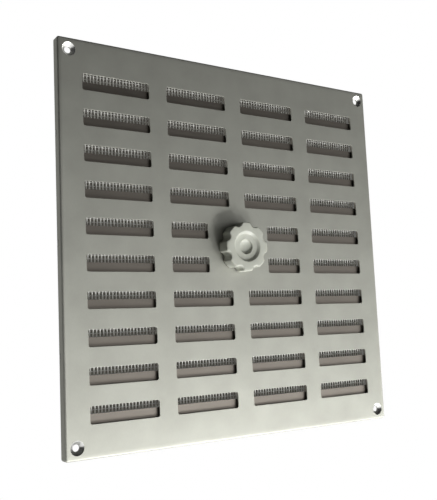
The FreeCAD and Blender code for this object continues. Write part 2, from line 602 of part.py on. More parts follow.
def clamp_knob():
    """The moulded hand knob: lobes round the edge, a ring recess and dimple in front, hollow behind."""
    body = new_body("knob")
    radius = "(Sizes.knob_diameter / 2)"
    bevel_end = f"({KNOB_FRONT} + Sizes.knob_front_bevel)"
    bevel_start = f"({KNOB_BACK} - Sizes.knob_back_bevel)"
    disc = turned_sketch(body, "knob_section", "0", KNOB_Z)
    polygon(disc, [("0", KNOB_FRONT), (f"({radius} - Sizes.knob_front_bevel)", KNOB_FRONT),
                   (radius, bevel_end), (radius, bevel_start),
                   (f"({radius} - Sizes.knob_back_bevel)", KNOB_BACK), ("0", KNOB_BACK)])
    turn(body, "knob_disc", disc)
    away = f"({radius} + Sizes.knob_notch_radius - Sizes.knob_notch_depth)"
    notch = face_sketch(body, "notch_outline", KNOB_FRONT, "0", KNOB_Z)
    circle(notch, "2 * Sizes.knob_notch_radius", f"{away} * cos(180 deg / Sizes.knob_lobes)",
           f"{away} * sin(180 deg / Sizes.knob_lobes)")
    first = pocket(body, "notch", notch)
    around(body, "notches", first, notch, "Sizes.knob_lobes")
    straight = worth(f"({bevel_start} - {bevel_end})")
    bevel_edges(body, "lobe_bevels", "Sizes.knob_lobe_bevel", lambda edge:
                abs(edge.Length - straight) < 1e-3 and abs(edge.BoundBox.YLength - straight) < 1e-3)

    floor = f"({KNOB_FRONT} + Sizes.knob_recess_depth)"
    deepest = f"({floor} + Sizes.knob_dimple_depth)"
    section = turned_sketch(body, "recess_section", "0", KNOB_Z)
    polygon(section, [("0", KNOB_FRONT), ("Sizes.knob_recess_rim / 2", KNOB_FRONT),
                      ("Sizes.knob_recess_floor / 2", floor), ("Sizes.knob_dimple_rim / 2", floor),
                      ("Sizes.knob_dimple_floor / 2", deepest), ("0", deepest)])
    turn(body, "front_recess", section, cut=True)

    hub = "(Sizes.knob_hub / 2)"
    wall = f"({radius} - Sizes.knob_notch_depth - Sizes.knob_wall)"
    hollow = face_sketch(body, "cavity_outline", KNOB_BACK, "0", KNOB_Z)
    circle(hollow, f"2 * {wall}")
    circle(hollow, "Sizes.knob_hub")
    pocket(body, "cavity", hollow, "Sizes.knob_cavity_depth", from_wall=True)
    rib = face_sketch(body, "rib_outline", KNOB_BACK, "0", KNOB_Z)
    polygon(rib, [(f"({hub} - Sizes.knob_rib / 2)", "-Sizes.knob_rib / 2"),
                  (f"({wall} + Sizes.knob_rib / 2)", "-Sizes.knob_rib / 2"),
                  (f"({wall} + Sizes.knob_rib / 2)", "Sizes.knob_rib / 2"),
                  (f"({hub} - Sizes.knob_rib / 2)", "Sizes.knob_rib / 2")])
    spoke = pad(body, "rib", rib, "Sizes.knob_cavity_depth")
    around(body, "ribs", spoke, rib, "Sizes.knob_ribs")

    seat = face_sketch(body, "nut_seat_outline", KNOB_BACK, "0", KNOB_Z)
    hexagon(seat, "Sizes.nut_across_flats")
    pocket(body, "nut_seat", seat, "Sizes.nut_height", from_wall=True)
    well = face_sketch(body, "stud_well_outline", KNOB_BACK, "0", KNOB_Z)
    circle(well, "(Sizes.stud_diameter + 2 * Sizes.stud_tip_clearance)")
    pocket(body, "stud_well", well, f"({KNOB_BACK} - {STUD_TIP} + Sizes.stud_tip_clearance)", from_wall=True)
    return body


def knob_nut():
    """The hexagon nut moulded into the back of the knob."""
    body = new_body("knob_nut")
    outline = face_sketch(body, "nut_outline", KNOB_BACK, "0", KNOB_Z)
    hexagon(outline, "Sizes.nut_across_flats")
    pad(body, "nut", outline, "Sizes.nut_height")
    bore = face_sketch(body, "nut_bore_outline", KNOB_BACK, "0", KNOB_Z)
    circle(bore, "(Sizes.stud_diameter + 2 * Sizes.thread_clearance)")
    pocket(body, "nut_bore", bore, from_wall=True)
    return body


pieces = [
    face_plate(),
    shutter_plate(),
    side_guide("right_guide", turned=False),
    side_guide("left_guide", turned=True),
    insect_mesh(),
    mesh_strip("mesh_strip_right", "XY_Plane", STRIP_OUTER_X, STRIP_LENGTH_Z, with_tabs=True, turned=False),
    mesh_strip("mesh_strip_left", "XY_Plane", STRIP_OUTER_X, STRIP_LENGTH_Z, with_tabs=True, turned=True),
    mesh_strip("mesh_strip_top", "YZ_Plane", STRIP_OUTER_Z, STRIP_LENGTH_X, with_tabs=False, turned=False),
    mesh_strip("mesh_strip_bottom", "YZ_Plane", STRIP_OUTER_Z, STRIP_LENGTH_X, with_tabs=False, turned=True),
    clamp_stud(),
    guide_bush(),
    front_washer(),
    clamp_knob(),
    knob_nut(),
]

doc.recompute()
for item in doc.Objects:
    if "Invalid" in item.State or "Error" in item.State:
        raise RuntimeError(f"{item.Label} failed: {item.State}")
for piece in pieces:
    if piece.Shape.isNull() or not piece.Shape.isValid() or len(piece.Shape.Solids) != 1:
        raise RuntimeError(f"{piece.Label} is not one sound solid")

os.makedirs("parts", exist_ok=True)
for piece in pieces:
    piece.Shape.exportStep(f"parts/{piece.Label}.step")
    box = piece.Shape.BoundBox
    print(f"{piece.Label}: volume {piece.Shape.Volume:.1f}, X {box.XMin:.2f} to {box.XMax:.2f}, "
          f"Y {box.YMin:.2f} to {box.YMax:.2f}, Z {box.ZMin:.2f} to {box.ZMax:.2f}")
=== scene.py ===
import bmesh
import bpy
import math
from mathutils import Matrix, Vector


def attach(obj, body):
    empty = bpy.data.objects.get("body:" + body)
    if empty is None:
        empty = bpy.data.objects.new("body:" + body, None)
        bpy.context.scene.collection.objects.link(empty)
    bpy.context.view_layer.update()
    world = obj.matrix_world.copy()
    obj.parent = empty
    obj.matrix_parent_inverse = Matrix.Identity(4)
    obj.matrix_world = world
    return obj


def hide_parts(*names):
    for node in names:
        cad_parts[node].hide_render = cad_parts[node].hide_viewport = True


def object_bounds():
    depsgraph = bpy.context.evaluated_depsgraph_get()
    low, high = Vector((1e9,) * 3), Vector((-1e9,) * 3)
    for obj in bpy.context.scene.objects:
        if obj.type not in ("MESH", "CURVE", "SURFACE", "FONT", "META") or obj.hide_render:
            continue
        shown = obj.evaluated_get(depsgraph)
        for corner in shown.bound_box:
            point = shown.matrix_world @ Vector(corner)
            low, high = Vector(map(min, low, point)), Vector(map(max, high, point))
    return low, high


# An adjustable vent grille of anodised aluminium: slotted face plate, sliding shutter, woven insect
# mesh and a scalloped clamp knob. X is to the right, Y into the wall and Z up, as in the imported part.
# Sizes are in millimetres and become metres with MM.
MM = 0.001

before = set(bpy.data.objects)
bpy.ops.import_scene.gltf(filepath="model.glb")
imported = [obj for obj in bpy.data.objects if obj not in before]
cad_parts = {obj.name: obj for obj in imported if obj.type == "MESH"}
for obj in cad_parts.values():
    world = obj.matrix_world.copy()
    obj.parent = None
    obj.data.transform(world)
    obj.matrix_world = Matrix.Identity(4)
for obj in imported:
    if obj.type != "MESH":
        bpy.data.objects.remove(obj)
cad_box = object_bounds()
LOWEST, HIGHEST = [[round(value / MM, 3) for value in corner] for corner in cad_box]


# Small helpers

def linear(code):
    """An sRGB hex colour as linear RGBA."""
    parts = [int(code[place:place + 2], 16) / 255 for place in (1, 3, 5)]
    return tuple(c / 12.92 if c <= 0.04045 else ((c + 0.055) / 1.055) ** 2.4 for c in parts) + (1.0,)


def node(tree, kind, inputs=None, **settings):
    """Adds a node. inputs gives each socket, by name or number, a value or the socket that feeds it."""
    made = tree.nodes.new(kind)
    for name, value in settings.items():
        setattr(made, name, value)
    for key, value in (inputs or {}).items():
        if isinstance(value, bpy.types.NodeSocket):
            tree.links.new(value, made.inputs[key])
        else:
            made.inputs[key].default_value = value
    return made


def mesh_object(name, mesh):
    thing = bpy.data.objects.new(name, mesh)
    bpy.context.scene.collection.objects.link(thing)
    return thing


def shade_by_angle(mesh, degrees):
    """Smooth shading with the edges sharper than an angle kept crisp."""
    mesh.polygons.foreach_set("use_smooth", [True] * len(mesh.polygons))
    mesh.set_sharp_from_angle(angle=math.radians(degrees))


def loft(name, rings):
    """A closed skin through rings that all have the same number of points, given in millimetres."""
    shell = bmesh.new()
    rows = [[shell.verts.new(Vector(point) * MM) for point in ring] for ring in rings]
    count = len(rows[0])
    for before, after in zip(rows, rows[1:]):
        for step in range(count):
            following = (step + 1) % count
            shell.faces.new((before[step], before[following], after[following], after[step]))
    shell.faces.new(list(reversed(rows[0])))
    shell.faces.new(rows[-1])
    bmesh.ops.recalc_face_normals(shell, faces=shell.faces)
    mesh = bpy.data.meshes.new(name)
    shell.to_mesh(mesh)
    shell.free()
    return mesh


def rule_tree(name, inputs):
    """A new Geometry Nodes tree with a geometry in and out and named inputs for its sizes."""
    tree = bpy.data.node_groups.new(name, "GeometryNodeTree")
    tree.interface.new_socket("Geometry", in_out="INPUT", socket_type="NodeSocketGeometry")
    for label, kind in inputs:
        tree.interface.new_socket(label, in_out="INPUT", socket_type=kind)
    tree.interface.new_socket("Geometry", in_out="OUTPUT", socket_type="NodeSocketGeometry")
    return tree, tree.nodes.new("NodeGroupInput").outputs


def finish_tree(tree, geometry, material):
    real = node(tree, "GeometryNodeRealizeInstances", {0: geometry})
    painted = node(tree, "GeometryNodeSetMaterial", {0: real.outputs[0], "Material": material})
    node(tree, "NodeGroupOutput", {0: painted.outputs[0]})


def grown_by_rule(name, start, tree, values):
    """Runs a Geometry Nodes tree on a mesh once and keeps the result as a plain mesh."""
    thing = mesh_object(name, start)
    rule = thing.modifiers.new(tree.name, "NODES")
    rule.node_group = tree
    for item in tree.interface.items_tree:
        if item.in_out == "INPUT" and item.name in values:
            rule[item.identifier] = values[item.name]
    evaluated = thing.evaluated_get(bpy.context.evaluated_depsgraph_get())
    mesh = bpy.data.meshes.new_from_object(evaluated)
    thing.modifiers.remove(rule)
    thing.data = mesh
    mesh.name = name
    return thing


# Materials

def new_material(name, **constants):
    """A material with its main shader, whose plain numbers stand on the shader's own sockets."""
    made = bpy.data.materials.new(name)
    made.use_nodes = True
    tree = made.node_tree
    shader = next(item for item in tree.nodes if item.type == "BSDF_PRINCIPLED")
    for socket, value in constants.items():
        shader.inputs[socket.replace("_", " ")].default_value = value
    place = node(tree, "ShaderNodeTexCoord").outputs["Object"]
    return made, tree, shader, place


def patches(size_mm):
    """The noise scale at which patches are about this many millimetres across."""
    return 1 / (size_mm * MM)


def finished(tree, shader, colour, rough=None, relief=None):
    """Gives a shader its finish: a pattern between two hex colours, one over a range of roughness
    and one raised by a height in millimetres."""
    pattern, dark, light = colour
    # A colour mix takes its two colours at sockets 6 and 7 and gives the result at 2
    blend = node(tree, "ShaderNodeMix", {"Factor": pattern, 6: linear(dark), 7: linear(light)},
                 data_type="RGBA")
    tree.links.new(blend.outputs[2], shader.inputs["Base Color"])
    if rough:
        pattern, low, high = rough
        spread = node(tree, "ShaderNodeMapRange", {"Value": pattern, "To Min": low, "To Max": high})
        tree.links.new(spread.outputs[0], shader.inputs["Roughness"])
    if relief:
        pattern, height = relief
        bump = node(tree, "ShaderNodeBump", {"Height": pattern, "Distance": height * MM, "Strength": 1.0})
        tree.links.new(bump.outputs[0], shader.inputs["Normal"])


def anodised_aluminium():
    """Sheet etched and anodised silver: satin grey with a breath of olive and a faint cloud in its oxide.
    The etched grain is finer in truth and drawn coarse enough to show."""
    made, tree, shader, place = new_material("anodised_aluminium", Metallic=1.0)
    cloud = node(tree, "ShaderNodeTexNoise", {"Vector": place, "Scale": patches(22.0), "Detail": 4.0,
                                              "Roughness": 0.55}).outputs["Fac"]
    upright = node(tree, "ShaderNodeMapping", {"Vector": place, "Scale": (1.0, 1.0, 0.25)}).outputs[0]
    grain = node(tree, "ShaderNodeTexNoise", {"Vector": upright, "Scale": patches(0.5), "Detail": 2.0,
                                              "Roughness": 0.55}).outputs["Fac"]
    finished(tree, shader, (cloud, "#a1a199", "#b9bab1"), (grain, 0.54, 0.66), (grain, 0.012))
    return made


def cut_aluminium():
    """Bare metal where a countersink cut through the oxide: bright, with marks left by the tool.
    The marks are drawn coarse enough to show."""
    made, tree, shader, place = new_material("cut_aluminium", Metallic=1.0)
    marks = node(tree, "ShaderNodeTexNoise", {"Vector": place, "Scale": patches(0.4), "Detail": 2.0,
                                              "Roughness": 0.55}).outputs["Fac"]
    finished(tree, shader, (marks, "#dededa", "#ececea"), (marks, 0.24, 0.36), (marks, 0.004))
    return made


def rolled_aluminium(name, dark, light, rough):
    """Bare mill-finish sheet: duller than the face, with fine rolling lines along its length.
    The lines are finer in truth and drawn coarse enough to show."""
    made, tree, shader, place = new_material(name, Metallic=1.0)
    along = node(tree, "ShaderNodeMapping", {"Vector": place, "Scale": (0.03, 1.0, 1.0)}).outputs[0]
    lines = node(tree, "ShaderNodeTexNoise", {"Vector": along, "Scale": patches(0.7), "Detail": 2.0,
                                              "Roughness": 0.55}).outputs["Fac"]
    cloud = node(tree, "ShaderNodeTexNoise", {"Vector": place, "Scale": patches(30.0), "Detail": 3.0,
                                              "Roughness": 0.55}).outputs["Fac"]
    finished(tree, shader, (cloud, dark, light), (lines, rough - 0.07, rough + 0.07), (lines, 0.008))
    return made


def drawn_wire():
    """Drawn aluminium wire, pale with dry oxide: bright where the die polished it, dull in short patches."""
    made, tree, shader, place = new_material("drawn_aluminium_wire", Metallic=0.3)
    dull = node(tree, "ShaderNodeTexNoise", {"Vector": place, "Scale": patches(1.5), "Detail": 2.0,
                                             "Roughness": 0.55}).outputs["Fac"]
    finished(tree, shader, (dull, "#dcdcd6", "#ecece8"), (dull, 0.42, 0.60))
    return made


def moulded_abs():
    """Moulded ABS in pale grey green: satin skin with fine spark texture and soft light in its edges.
    The texture is drawn coarse enough to show."""
    made, tree, shader, place = new_material("moulded_abs", IOR=1.54, Subsurface_Weight=0.12,
                                             Subsurface_Scale=2 * MM, Subsurface_Radius=(1.0, 0.9, 0.7))
    skin = node(tree, "ShaderNodeTexNoise", {"Vector": place, "Scale": patches(0.35), "Detail": 2.0,
                                             "Roughness": 0.55}).outputs["Fac"]
    cloud = node(tree, "ShaderNodeTexNoise", {"Vector": place, "Scale": patches(9.0), "Detail": 2.0,
                                              "Roughness": 0.55}).outputs["Fac"]
    finished(tree, shader, (cloud, "#b3b5a9", "#bcbeb3"), (skin, 0.36, 0.50), (skin, 0.010))
    return made


def moulded_nylon():
    """Natural moulded nylon: milky, matt, slightly yellow."""
    made, tree, shader, place = new_material("moulded_nylon", IOR=1.53, Roughness=0.5)
    milk = node(tree, "ShaderNodeTexNoise", {"Vector": place, "Scale": patches(2.0), "Detail": 2.0,
                                             "Roughness": 0.55}).outputs["Fac"]
    skin = node(tree, "ShaderNodeTexNoise", {"Vector": place, "Scale": patches(0.3), "Detail": 2.0,
                                             "Roughness": 0.55}).outputs["Fac"]
    finished(tree, shader, (milk, "#d8d4c4", "#e2dfd2"), relief=(skin, 0.006))
    return made


def zinc_plate():
    """Bright zinc on turned steel: bluish silver with fine turning marks and slight stains."""
    made, tree, shader, place = new_material("zinc_plated_steel", Metallic=1.0)
    stain = node(tree, "ShaderNodeTexNoise", {"Vector": place, "Scale": patches(2.5), "Detail": 3.0,
                                              "Roughness": 0.55}).outputs["Fac"]
    marks = node(tree, "ShaderNodeTexNoise", {"Vector": place, "Scale": patches(0.25), "Detail": 2.0,
                                              "Roughness": 0.55}).outputs["Fac"]
    finished(tree, shader, (stain, "#a9adb3", "#c6c9cc"), (stain, 0.22, 0.40), (marks, 0.004))
    return made


ANODISED = anodised_aluminium()
CUT_METAL = cut_aluminium()
# The shutter's colours are darker and browner than the plain sheet's: painted shade for the plate recessed
# behind the face.
SHADED_SHUTTER_SHEET = rolled_aluminium("rolled_aluminium_shutter_painted_shade", "#88827a", "#989188", 0.38)
PLAIN_SHEET = rolled_aluminium("rolled_aluminium", "#b7b7b4", "#c6c6c3", 0.40)
WIRE = drawn_wire()
KNOB_PLASTIC = moulded_abs()
NYLON = moulded_nylon()
ZINC = zinc_plate()


# Face plate

HALF, RIM = HIGHEST[2], HIGHEST[1]
FACE_FRONT, SHEET = -2.5, 1.0
FACE_REAR = FACE_FRONT + SHEET
CORNER, BEND, INNER_BEND = 1.4, 1.2, 0.2
SCREW, DISH_R, HOLE_R, DISH_BACK = 114.0, 4.1, 2.0, 0.4
NEAR_AXIS, OVERCUT = 0.01, 0.5
FOLD_GAP, FOLD_START, FOLD_FRONT, FOLD_REACH = 0.4, 119.0, -0.9, 6.8
SLIT_STEP, SLIT_X, SLIT_FRONT, SLIT_REAR = 64.2, 120.5, 1.95, 3.15
SLIT_WIDE, SLIT_DEEP = 4.0, 3.0


def rounded_ring(half, radius, level, steps=6):
    """Points round a square with round corners, at a level through the depth."""
    points = []
    for turn, (sx, sz) in enumerate(((1, 1), (-1, 1), (-1, -1), (1, -1))):
        for step in range(steps + 1):
            angle = math.radians(90 * (turn + step / steps))
            points.append((sx * (half - radius) + radius * math.cos(angle), level,
                           sz * (half - radius) + radius * math.sin(angle)))
    return points


def folded_tray():
    """The sheet folded back on its four sides, before anything is punched."""
    rings = []
    for step in range(7):
        angle = math.radians(15 * step)
        inset = BEND * (1 - math.sin(angle))
        rings.append(rounded_ring(HALF - inset, CORNER - inset, FACE_FRONT + BEND * (1 - math.cos(angle))))
    inner, inner_corner = HALF - SHEET, CORNER - SHEET
    rings.append(rounded_ring(HALF, CORNER, RIM))
    rings.append(rounded_ring(inner, inner_corner, RIM))
    for step in range(4):
        angle = math.radians(30 * step)
        inset = INNER_BEND * (1 - math.cos(angle))
        rings.append(rounded_ring(inner - inset, inner_corner - inset,
                                  FACE_REAR + INNER_BEND * (1 - math.sin(angle))))
    tray = loft("folded_tray", rings)
    tray.materials.append(ANODISED)
    return tray


def turned(name, profile, steps=64):
    """A closed solid turned about Y from a profile of radius and level that starts and ends on the axis."""
    rings = []
    for radius, level in profile:
        rings.append([(radius * math.cos(math.tau * s / steps), level, radius * math.sin(math.tau * s / steps))
                      for s in range(steps)])
    return loft(name, rings)


def block(low, high, turn=0.0, at=(0.0, 0.0)):
    """The eight corners' rings of a box between two corners, turned about Y and moved to a place."""
    ring = [(low[0], low[2]), (high[0], low[2]), (high[0], high[2]), (low[0], high[2])]
    cos, sin = math.cos(turn), math.sin(turn)
    placed = [(at[0] + x * cos - z * sin, at[1] + x * sin + z * cos) for x, z in ring]
    return [[(x, level, z) for x, z in placed] for level in (low[1], high[1])]


def joined(name, meshes):
    """One mesh of several, each with the matrix that places it."""
    whole = bmesh.new()
    for mesh, matrix in meshes:
        before = len(whole.verts)
        whole.from_mesh(mesh)
        whole.verts.ensure_lookup_table()
        bmesh.ops.transform(whole, matrix=matrix, verts=whole.verts[before:])
    bmesh.ops.recalc_face_normals(whole, faces=whole.faces)
    mesh = bpy.data.meshes.new(name)
    whole.to_mesh(mesh)
    whole.free()
    return mesh


def slot_tree():
    """Punches rows and columns of slots with round corners, short ones beside the knob."""
    lengths = ["Row pitch", "Column pitch", "Slot width", "Short width", "Short spacing", "Slot height",
               "Slot corner", "Drop", "Middle width", "Middle height", "Middle corner"]
    tree, given = rule_tree("punched_slots", [(name, "NodeSocketFloat") for name in lengths]
                            + [("Backs", "NodeSocketObject"), ("Cuts", "NodeSocketObject")])

    def punch(width, height, radius):
        """A closed prism with round corners that stands right through the sheet."""
        outline = node(tree, "GeometryNodeCurvePrimitiveQuadrilateral", {"Width": width, "Height": height})
        rounded = node(tree, "GeometryNodeFilletCurve",
                       {"Curve": outline.outputs[0], "Count": 5, "Radius": radius}, mode="POLY")
        flat = node(tree, "GeometryNodeFillCurve", {0: rounded.outputs[0]}, mode="NGONS")
        stood = node(tree, "GeometryNodeExtrudeMesh", {0: flat.outputs[0], "Offset Scale": 4 * MM})
        under = node(tree, "GeometryNodeFlipFaces", {0: flat.outputs[0]})
        both = node(tree, "GeometryNodeJoinGeometry", {0: stood.outputs[0]})
        tree.links.new(under.outputs[0], both.inputs[0])
        closed = node(tree, "GeometryNodeMergeByDistance", {0: both.outputs[0], "Distance": 0.001 * MM})
        return node(tree, "GeometryNodeTransform", {
            0: closed.outputs[0], "Translation": (0, (FACE_REAR + SHEET) * MM, 0),
            "Rotation": (math.pi / 2, 0, 0)}).outputs[0]

    def grid(columns, rows, step_x, step_z):
        """Points in columns and rows, standing in the plate's plane."""
        across = node(tree, "ShaderNodeMath", {0: step_x, 1: columns - 1.0}, operation="MULTIPLY")
        up = node(tree, "ShaderNodeMath", {0: step_z, 1: rows - 1.0}, operation="MULTIPLY")
        flat = node(tree, "GeometryNodeMeshGrid", {"Size X": across.outputs[0], "Size Y": up.outputs[0],
                                                   "Vertices X": columns, "Vertices Y": rows})
        stood = node(tree, "GeometryNodeTransform", {0: flat.outputs[0], "Rotation": (math.pi / 2, 0, 0)})
        return stood.outputs[0]

    def near_knob():
        """True for the grid's four points beside the knob."""
        place = node(tree, "GeometryNodeInputPosition")
        parts = node(tree, "ShaderNodeSeparateXYZ", {0: place.outputs[0]})
        tests = []
        for part, step in (("X", "Column pitch"), ("Z", "Row pitch")):
            size = node(tree, "ShaderNodeMath", {0: parts.outputs[part]}, operation="ABSOLUTE")
            tests.append(node(tree, "ShaderNodeMath", {0: size.outputs[0], 1: given[step]},
                              operation="LESS_THAN"))
        return node(tree, "ShaderNodeMath", {0: tests[0].outputs[0], 1: tests[1].outputs[0]},
                    operation="MULTIPLY").outputs[0]

    whole_grid = grid(4, 10, given["Column pitch"], given["Row pitch"])
    outer = node(tree, "GeometryNodeDeleteGeometry", {0: whole_grid, "Selection": near_knob()},
                 domain="POINT")
    short_grid = grid(2, 2, given["Short spacing"], given["Row pitch"])
    whole_slot = punch(given["Slot width"], given["Slot height"], given["Slot corner"])
    short_slot = punch(given["Short width"], given["Slot height"], given["Slot corner"])
    middle_slot = punch(given["Middle width"], given["Middle height"], given["Middle corner"])
    punches = node(tree, "GeometryNodeJoinGeometry")
    for points, shape in ((outer.outputs[0], whole_slot), (short_grid, short_slot)):
        copies = node(tree, "GeometryNodeInstanceOnPoints", {"Points": points, "Instance": shape})
        tree.links.new(copies.outputs[0], punches.inputs[0])
    tree.links.new(middle_slot, punches.inputs[0])
    lowered = node(tree, "ShaderNodeMath", {0: given["Drop"], 1: -1.0}, operation="MULTIPLY")
    shift = node(tree, "ShaderNodeCombineXYZ", {"Z": lowered.outputs[0]})
    placed = node(tree, "GeometryNodeTransform", {0: punches.outputs[0], "Translation": shift.outputs[0]})
    real = node(tree, "GeometryNodeRealizeInstances", {0: placed.outputs[0]})
    backs = node(tree, "GeometryNodeObjectInfo", {0: given["Backs"]})
    cuts = node(tree, "GeometryNodeObjectInfo", {0: given["Cuts"]})
    stout = node(tree, "GeometryNodeMeshBoolean", operation="UNION", solver="EXACT")
    tree.links.new(given["Geometry"], stout.inputs["Mesh 2"])
    tree.links.new(backs.outputs["Geometry"], stout.inputs["Mesh 2"])
    pierced = node(tree, "GeometryNodeMeshBoolean", {"Mesh 1": stout.outputs[0]}, operation="DIFFERENCE",
                   solver="EXACT")
    tree.links.new(real.outputs[0], pierced.inputs["Mesh 2"])
    tree.links.new(cuts.outputs["Geometry"], pierced.inputs["Mesh 2"])
    finish_tree(tree, pierced.outputs[0], ANODISED)
    return tree


def face_plate():
    """The punched and folded face, with rounded slot corners, dished screw holes and open fold joints."""
    corners = [(sx, sz) for sx in (1, -1) for sz in (1, -1)]
    move = [Matrix.Translation((sx * SCREW * MM, 0, sz * SCREW * MM)) for sx, sz in corners]
    lip = DISH_R + math.sqrt(2) * SHEET + FACE_FRONT
    back = turned("dish_back", [(NEAR_AXIS, FACE_FRONT + OVERCUT), (lip - FACE_REAR, FACE_FRONT + OVERCUT),
                                (lip - FACE_REAR, FACE_REAR), (lip - DISH_BACK, DISH_BACK),
                                (NEAR_AXIS, DISH_BACK)])
    sink = turned("dish_sink", [(NEAR_AXIS, FACE_FRONT - OVERCUT), (DISH_R + OVERCUT, FACE_FRONT - OVERCUT),
                                (DISH_R, FACE_FRONT), (HOLE_R, FACE_FRONT + DISH_R - HOLE_R),
                                (HOLE_R, DISH_BACK + 0.8 * OVERCUT), (NEAR_AXIS, DISH_BACK + 0.8 * OVERCUT)])
    backs = mesh_object("dish_backs", joined("dish_backs", [(back, m) for m in move]))
    cuts = [(sink, m) for m in move]
    for sx, sz in corners:
        rings = block((0, FOLD_FRONT, -FOLD_GAP / 2), (FOLD_REACH, RIM + OVERCUT, FOLD_GAP / 2),
                      math.atan2(sz, sx), (sx * FOLD_START, sz * FOLD_START))
        cuts.append((loft("fold_joint", rings), Matrix.Identity(4)))
    for row in (-1, 0, 1):
        for sx in (1, -1):
            rings = block((-SLIT_DEEP / 2, SLIT_FRONT, -SLIT_WIDE / 2),
                          (SLIT_DEEP / 2, SLIT_REAR, SLIT_WIDE / 2), 0.0, (sx * SLIT_X, row * SLIT_STEP))
            cuts.append((loft("tab_slit", rings), Matrix.Identity(4)))
    holes = mesh_object("plate_holes", joined("plate_holes", cuts))
    plate = grown_by_rule("face_sheet", folded_tray(), slot_tree(), {
        "Row pitch": 21.4 * MM, "Column pitch": 56.05 * MM, "Slot width": 43.8 * MM, "Short width": 26.7 * MM,
        "Short spacing": 73.15 * MM, "Slot height": 10.0 * MM, "Slot corner": 1.2 * MM, "Drop": 0.8 * MM,
        "Middle width": 8.0 * MM, "Middle height": 18.7 * MM, "Middle corner": 2.0 * MM,
        "Backs": backs, "Cuts": holes})
    for helper in (backs, holes):
        bpy.data.objects.remove(helper)
    plate.data.materials.append(CUT_METAL)
    for face in plate.data.polygons:
        from_screw = [abs(face.center[axis]) - SCREW * MM for axis in (0, 2)]
        if math.hypot(*from_screw) < DISH_R * MM and -0.9 < face.normal.y < -0.5:
            face.material_index = len(plate.data.materials) - 1
    shade_by_angle(plate.data, 30)
    softened = plate.modifiers.new("edge_break", "BEVEL")
    softened.width = 0.12 * MM
    softened.segments = 2
    softened.limit_method = "ANGLE"
    softened.angle_limit = math.radians(35)
    softened.harden_normals = True
    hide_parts("face_plate")
    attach(plate, "grille")


# Insect mesh

WIRES, PITCH = 109, 2.15


def weave_tree():
    """Parallel wires that wave over and under the ones they cross, cut short at the mesh's corners."""
    tree, given = rule_tree("woven_wires", [
        ("Wires", "NodeSocketInt"), ("Steps", "NodeSocketInt"), ("Pitch", "NodeSocketFloat"),
        ("Half pitch", "NodeSocketFloat"), ("Start", "NodeSocketFloat"), ("Wire radius", "NodeSocketFloat"),
        ("Wave", "NodeSocketFloat"), ("Level", "NodeSocketFloat"), ("Short reach", "NodeSocketFloat"),
        ("Waver", "NodeSocketFloat"), ("Turn", "NodeSocketFloat"), ("Seed", "NodeSocketFloat")])
    grid = []
    for count, step, axis in (("Steps", "Half pitch", "Z"), ("Wires", "Pitch", "X")):
        first = node(tree, "ShaderNodeCombineXYZ", {axis: given["Start"]})
        offset = node(tree, "ShaderNodeCombineXYZ", {axis: given[step]})
        grid.append(node(tree, "GeometryNodeMeshLine", {
            "Count": given[count], "Start Location": first.outputs[0], "Offset": offset.outputs[0]}))
    copies = node(tree, "GeometryNodeInstanceOnPoints", {"Points": grid[1].outputs[0],
                                                         "Instance": grid[0].outputs[0]})
    lines = node(tree, "GeometryNodeRealizeInstances", {0: copies.outputs[0]})
    place = node(tree, "GeometryNodeInputPosition").outputs[0]

    away = node(tree, "ShaderNodeVectorMath", {0: place}, operation="ABSOLUTE")
    sides = node(tree, "ShaderNodeSeparateXYZ", {0: away.outputs[0]})
    far = [node(tree, "ShaderNodeMath", {0: sides.outputs[axis], 1: given["Short reach"]},
                operation="GREATER_THAN") for axis in ("X", "Z")]
    corner = node(tree, "ShaderNodeMath", {0: far[0].outputs[0], 1: far[1].outputs[0]}, operation="MULTIPLY")
    cut = node(tree, "GeometryNodeDeleteGeometry", {0: lines.outputs[0], "Selection": corner.outputs[0]},
               domain="POINT")

    parts = node(tree, "ShaderNodeSeparateXYZ", {0: place})
    both = node(tree, "ShaderNodeMath", {0: parts.outputs["X"], 1: parts.outputs["Z"]}, operation="ADD")
    order = node(tree, "ShaderNodeMath", {0: both.outputs[0], 1: given["Pitch"]}, operation="DIVIDE")
    phase = node(tree, "ShaderNodeMath", {0: order.outputs[0], 1: math.pi, 2: given["Turn"]},
                 operation="MULTIPLY_ADD")
    over_under = node(tree, "ShaderNodeMath", {0: phase.outputs[0]}, operation="COSINE")
    depth = node(tree, "ShaderNodeMath", {0: over_under.outputs[0], 1: given["Wave"], 2: given["Level"]},
                 operation="MULTIPLY_ADD")
    wander = node(tree, "ShaderNodeTexNoise", {"Vector": place, "W": given["Seed"], "Scale": 55.0,
                                               "Detail": 1.0}, noise_dimensions="4D")
    centred = node(tree, "ShaderNodeMath", {0: wander.outputs["Fac"], 1: 0.5}, operation="SUBTRACT")
    aside = node(tree, "ShaderNodeMath", {0: centred.outputs[0], 1: given["Waver"], 2: parts.outputs["X"]},
                 operation="MULTIPLY_ADD")
    woven = node(tree, "ShaderNodeCombineXYZ", {"X": aside.outputs[0], "Y": depth.outputs[0],
                                                "Z": parts.outputs["Z"]})
    moved = node(tree, "GeometryNodeSetPosition", {0: cut.outputs[0], "Position": woven.outputs[0]})
    wires = node(tree, "GeometryNodeMeshToCurve", {0: moved.outputs[0]})
    section = node(tree, "GeometryNodeCurvePrimitiveCircle", {"Resolution": 4, "Radius": given["Wire radius"]})
    skin = node(tree, "GeometryNodeCurveToMesh", {
        "Curve": wires.outputs[0], "Profile Curve": section.outputs[0], "Fill Caps": True})
    smooth = node(tree, "GeometryNodeSetShadeSmooth", {0: skin.outputs[0], "Shade Smooth": True})
    finish_tree(tree, smooth.outputs[0], WIRE)
    return tree


